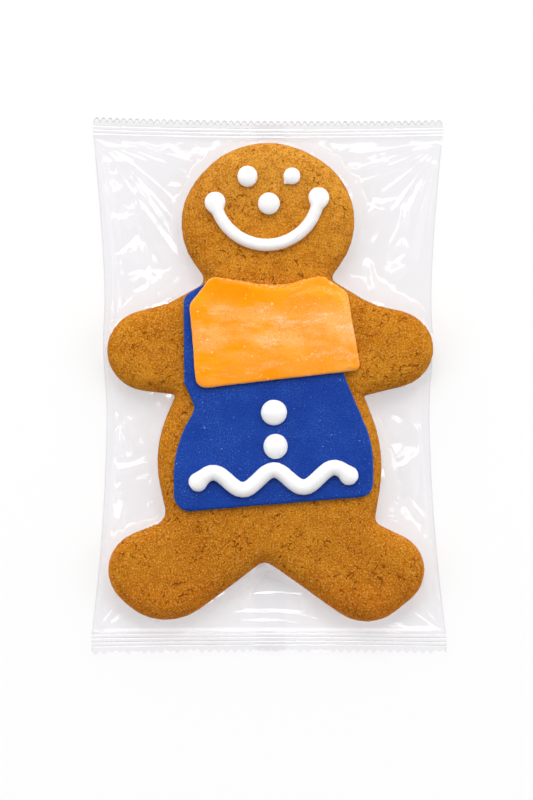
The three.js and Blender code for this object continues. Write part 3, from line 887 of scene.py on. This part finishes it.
# %% Facets
facets = [
    # corners, slope
    ([(-55, 77.6), (-50.5, 74.6), (-46, 75.4), (-50, 77)], 0.3),
    ([(-55, 77.2), (-52.5, 73.4), (-51, 73.6), (-53, 76.6)], 0.34),
    ([(44, 74), (49, 73.8), (53.5, 76.2), (47.5, 76.2)], 0.28),
    ([(-32.8, 63.2), (-29.5, 61.6), (-26, 62.8), (-28, 64.6), (-31, 64.6)], 0.32),
    ([(-27.6, 66), (-24, 63.8), (-23, 65), (-26, 67)], 0.3),
    ([(-49, 41.2), (-44, 40.2), (-38.8, 41.5), (-39.5, 46.5), (-41, 48.5)], 0.3),
    ([(-43, 39.5), (-35, 38), (-36, 42), (-39.5, 47)], 0.28),
    ([(-46, -8.3), (-42.5, -16.5), (-38.8, -8.3)], 0.22),
    ([(-49.3, -12), (-48, -20), (-44.5, -22.4), (-45.5, -17), (-47, -12.5)], 0.26),
    ([(-42.8, -16.8), (-37.6, -22.5), (-35.2, -12)], 0.2),
    ([(-49, -32.5), (-46.5, -36), (-46, -32.5)], 0.24),
    ([(37.4, -8.5), (39, -12.3), (44.8, -13.6), (40.5, -9.3)], 0.34),
    ([(41.5, -3), (48.6, -6.4), (47.5, -3.5), (44, -1.6)], 0.3),
    ([(38, -18), (39.5, -23), (42.6, -17.5)], 0.2),
    ([(38.5, 43.8), (45.3, 42), (41.8, 48)], 0.36),
    ([(36, 35), (39, 33.5), (43.2, 38.4), (39.8, 39.2), (36, 38.4)], 0.34),
    ([(19.8, 71), (22.5, 70.5), (22.3, 72.6), (20, 72.8)], 0.3),
    ([(24.5, 68), (28, 67), (29.3, 69.4), (28.8, 70.6), (25, 70.6)], 0.34),
    ([(31, 59), (35, 56.6), (40.5, 59), (33, 60)], 0.2),
    ([(41, 51), (43.4, 49), (43.8, 57), (41.5, 58)], 0.3),
    ([(38.2, -35), (41.5, -36.6), (41, -35)], 0.3),
]
facet_relief = sum(facet(*shape) for shape in facets)

# %% Small facets at random
loose_facets = 220
dice = random.Random(SEED)


def random_triangle():
    """Three corners round a random place, in millimetres."""
    x, y, turn = dice.uniform(-52, 52), dice.uniform(-76, 76), dice.uniform(0, 2 * math.pi)
    size = dice.uniform(2, 6.5)
    turns = [turn + step for step in (0, dice.uniform(1.6, 2.5), dice.uniform(3.7, 4.6))]
    return [(x + size * math.cos(a), y + size * math.sin(a)) for a in turns]


for _ in range(loose_facets):
    bulge = dice.choice((1, 1, -1))
    triangle = random_triangle()
    facet_relief += bulge * facet(triangle, dice.uniform(0.06, 0.24), back=0.25)
print("facets:", len(facets) + loose_facets)

# %% [markdown]
# The tight sheet, the folds and the air that is left in the bag add up to the upper film's height. It never
# sinks into the contents.

# %% The film over its contents
billow = 1.0 * MM  # what air is left in the bag lifts the slack film
flat_corner = 26 * MM  # but less within this distance of the foot's corners
crotch, taut_reach = (-0.5 * MM, -55.5 * MM), 9 * MM  # the film is drawn flat between the legs
swell, swell_size = 1.1 * MM, 15
hollow, hollow_size = 0.8 * MM, 11
rumple, rumple_size = 1.2 * MM, 4.5  # where the film is steep

swells = swell * noise_field(swell_size, SEED) - hollow * np.abs(noise_field(hollow_size, SEED + 3))
slope_across = np.gradient(tent, axis=1) / np.gradient(film_x, axis=1)
slope_along = np.gradient(tent, axis=0) / np.gradient(film_y, axis=0)
rumples = rumple * noise_field(rumple_size, SEED + 8, 2) * shares(np.hypot(slope_across, slope_along))
taut = bell(np.hypot(film_x - crotch[0], film_y - crotch[1]), taut_reach)
to_corner = np.minimum(*(np.hypot(film_x - side * foot_half, film_y + seal_inner) for side in (-1, 1)))
relief = fan_relief * by_the_edge + (crease_relief + facet_relief * (1 - taut)) * off_the_strip
billow = billow * shares(to_corner / flat_corner) ** 2
relief = slack * (relief + (swells + billow) * well_inside + rumples)
bottom = np.where(tops > 0, lowest, lower_level + clearance)
upper_z = np.where(held, held_level, np.maximum(tent + relief, bottom))
print("relief:", round(relief.min() / MM, 2), "to", round(relief.max() / MM, 2), "mm")

# %% [markdown]
# The seals are crimped by ribbed jaws, which press fine grooves across the bag. `gleam` says how strongly
# the film mirrors: more along a groove, the head's cut edge, the bag's sides and the rim of the biscuit, and
# between the legs as painted shade, a little less beside a seal, and not at all where the film clings to
# what it covers.

# %% The seals' relief
groove_depth = 0.07 * MM
groove_half, groove_wall = 0.28, 0.18  # shares of the grooves' spacing
ply = 0.06 * MM  # half the space between the two films in a seal
last_groove = 0.4  # no groove is closer to the teeth than this share of their spacing
warp, warp_length = 0.12 * MM, 9 * MM  # crimping leaves a seal slightly wavy
highest_curl = 0.13  # of the foot's points, in millimetres


def groove_place(rows):
    """How far each row is from its nearest groove, towards the head, as a share of their spacing."""
    into = (np.abs(rows) - seal_inner) / seal_width * grooves
    crimped = (into > -0.01) & (into < grooves - last_groove)
    return np.where(crimped, np.sign(rows) * ((into + 0.5) % 1 - 0.5), 0.5)


def seal_height(rows, x, side):
    """The crimped film's height, for the upper film (side 1) or the lower one (side -1)."""
    groove = shares((groove_half - np.abs(groove_place(rows))) / groove_wall)
    wave = warp * np.sin(x / warp_length) * shares((np.abs(rows) - seal_inner) / seal_width)
    return seal_level + side * ply - groove_depth * groove + wave


curls = [dice.uniform(0, highest_curl) for _ in range(columns // columns_a_point + 1)]


def curled_teeth(rows):
    """How far the points at the foot of the bag curl up, each by its own small amount."""
    curl = (np.array(curls) * MM)[np.arange(columns + 1) // columns_a_point][None, :]
    return curl * shares((-rows - seal_outer) / tooth) ** 5 * tooth_shape(rows)


print("grooves:", grooves, "in each seal,", round(seal_width / grooves / MM, 2), "mm apart")


# %% How the seals mirror
groove_gleam, face_gleam = (4.5, 5.5), (1.2, 0.8)  # each at the head of the bag and at its foot
cut_gleam, tooth_gleam = (10.0, 0.4), (0.8, 1.0)
groove_line, cut_line = 0.12, 0.22 * MM  # half widths: a share of the grooves' spacing, and a length
first_groove, first_groove_share = 0.3 * MM, 0.4  # the innermost groove is faint


def seal_gleam(rows, x):
    """How strongly a seal mirrors: more along its grooves, and at the head also along the cut edge, which
    draws a fine grey line there."""
    pressed = 0.8 + 0.2 * np.sin(x / (13 * MM) + rows / (2 * MM))  # the jaws press unevenly
    line = by_end(rows, *groove_gleam) * bell(groove_place(rows), groove_line) * pressed
    line = line * np.where(np.abs(rows) < seal_inner + first_groove, first_groove_share, 1)
    cut = by_end(rows, *cut_gleam) * bell((half_length - np.abs(rows)) * tooth_shape(rows), cut_line)
    toothed = np.abs(rows) > seal_outer
    return np.where(toothed, by_end(rows, *tooth_gleam) + cut, by_end(rows, *face_gleam) + line)


# %% [markdown]
# Now the arrays become meshes. Each point of a mesh carries its own `gleam`.

# %% The films' meshes
def film_sheet(name, x, y, z, gleam, facing_up):
    """A grid whose points lie where the arrays say."""
    rows_of_faces, columns_of_faces = x.shape[0] - 1, x.shape[1] - 1
    bm = bmesh.new()
    bmesh.ops.create_grid(bm, x_segments=columns_of_faces, y_segments=rows_of_faces, size=0.5)
    gleam_layer = bm.verts.layers.float.new("gleam")
    for v in bm.verts:
        i, j = round((v.co.x + 0.5) * columns_of_faces), round((v.co.y + 0.5) * rows_of_faces)
        v[gleam_layer] = gleam[j, i]
        v.co = (x[j, i], y[j, i], z[j, i])
    if not facing_up:
        bmesh.ops.reverse_faces(bm, faces=bm.faces)
    sheet = as_piece(name, bm)
    print(name, "faces:", len(sheet.data.polygons))
    return sheet


# %% The upper film
slack_gleam, contents_gleam, rim_gleam, taut_and_shade_gleam = 0.9, 1.2, 1.6, 3
side_gleam = 6
seal_dimming, dim_width = 0.5, 1.2 * MM

beside = (tops == 0).astype(float)
near_contents = 1 - mean_of_neighbours(mean_of_neighbours(beside))
rim = (tops == 0) & (mean_of_neighbours(beside) < 0.99)  # film that is pulled tight round the biscuit's edge
# Between the legs the film mirrors more: partly flat film mirroring the dark opening, partly painted shade
# for the crotch.
loose_gleam = slack_gleam + contents_gleam * near_contents + rim_gleam * rim + taut_and_shade_gleam * taut
by_the_seal = 1 - seal_dimming * bell(to_seal, dim_width)
gleam = seal_gleam(upper_rows, upper_x)
gleam[pillow] = np.where(tops > 0, 0, loose_gleam) * by_the_seal
gleam[:, [0, -1]] = side_gleam
z = seal_height(upper_rows, upper_x, 1)
z[pillow] = upper_z
film_upper = film_sheet("film_upper", upper_x, upper_y, z + curled_teeth(upper_rows), gleam, facing_up=True)

# %% The lower film
lower_pillow_rows = 90
lower_seal_ramp, lower_side_ramp = 4 * MM, 7 * MM  # it rises to meet the upper film over these distances

lower_rows = row_places(lower_pillow_rows)
lower_x, lower_y = plan(lower_rows)
sealed = np.abs(lower_rows) >= seal_inner - edge
rise_to_seal = shares(1 - (seal_inner - np.abs(lower_rows)) / lower_seal_ramp) ** 2
to_lower_side = half_width(lower_rows) - np.abs(lower_x - middle(lower_rows))
rise_to_side = shares(1 - to_lower_side / lower_side_ramp) ** 2
lift = np.maximum(rise_to_seal * (seal_level - ply - lower_level), rise_to_side * (side_level - lower_level))
lower_z = np.where(sealed, seal_height(lower_rows, lower_x, -1), lower_level + lift)
lower_z += curled_teeth(lower_rows)
gleam = np.where(sealed, seal_gleam(lower_rows, lower_x), 1.0)
film_lower = film_sheet("film_lower", lower_x, lower_y, lower_z, gleam, facing_up=False)

# %% [markdown]
# The tube is closed down its back by a fin seal: both edges of the film, pressed together by ribbed wheels
# and folded flat against the bag. Its ribs run lengthwise.

# %% Fin seal
fin_half, fin_middle, fin_gap = 4.8 * MM, 0.2 * MM, 0.12 * MM
ribs, columns_a_rib, rib_height = 6, 6, 0.03 * MM
crimped_gleam, open_gleam = 1.5, 0.3

across = np.linspace(-1, 1, ribs * columns_a_rib + 1)[None, :]
middle_column = [columns // 2]
fin_x = fin_middle + fin_half * across + 0 * lower_rows
fin_y = lower_y[:, middle_column] + 0 * across
fin_z = lower_z[:, middle_column] - fin_gap + rib_height * np.cos(2 * np.pi * ribs * (across + 1) / 2)
gleam = np.where(sealed, crimped_gleam, open_gleam) + 0 * fin_x
fin_seal = film_sheet("fin_seal", fin_x, fin_y, fin_z, gleam, facing_up=False)

# %% [markdown]
# Film is nearly invisible where it lies flat. A clear shader lets the light through, and a mirror is mixed
# in by how steeply the film is seen: a few hundredths head on, and far more at a low angle.

# %% Film finish
head_on = 0.045  # what share of the light film mirrors that is seen straight on
clear = Finish(bpy.data.materials.new("clear_film"))
facing = clear.add("ShaderNodeLayerWeight", None, {"Blend": 0.5}, output="Facing")
mirror = ((head_on + (1 - head_on) * facing ** 5) * clear.attribute("gleam")).clamped()
gloss = clear.add("ShaderNodeBsdfPrincipled", None, {
    "Base Color": (1, 1, 1, 1),
    "Metallic": 1.0,
    "Roughness": 0.1,
})
through = clear.add("ShaderNodeBsdfTransparent", None, {"Color": (0.996, 0.991, 0.998, 1)})
clear_film = clear.surface(clear.add("ShaderNodeMixShader", None, {0: mirror, 1: through, 2: gloss}))
films = film_upper, film_lower, fin_seal
for sheet in films:
    sheet.data.materials.append(clear_film)
print("sheets of film:", len(films))

# %% [markdown]
# ## Fitting to the frame
#
# Every piece rides on the one body and takes the place of its solid, which is hidden.

# %% Into the frame
places = [
    # piece, the solid whose place it takes, finish
    (gingerbread, "biscuit", "biscuit"),
    (blue_sheet, "blue_panel", "blue_icing"),
    (orange_sheet, "orange_panel", "orange_icing"),
]
places += [(piece, node, "white_icing") for node, piece in piped.items()]
places += [(sheet, "bag", "film") for sheet in films]
for piece, node, finish in places:
    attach(piece, "root")
    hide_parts(node)
print("pieces in the frame:", len(places))
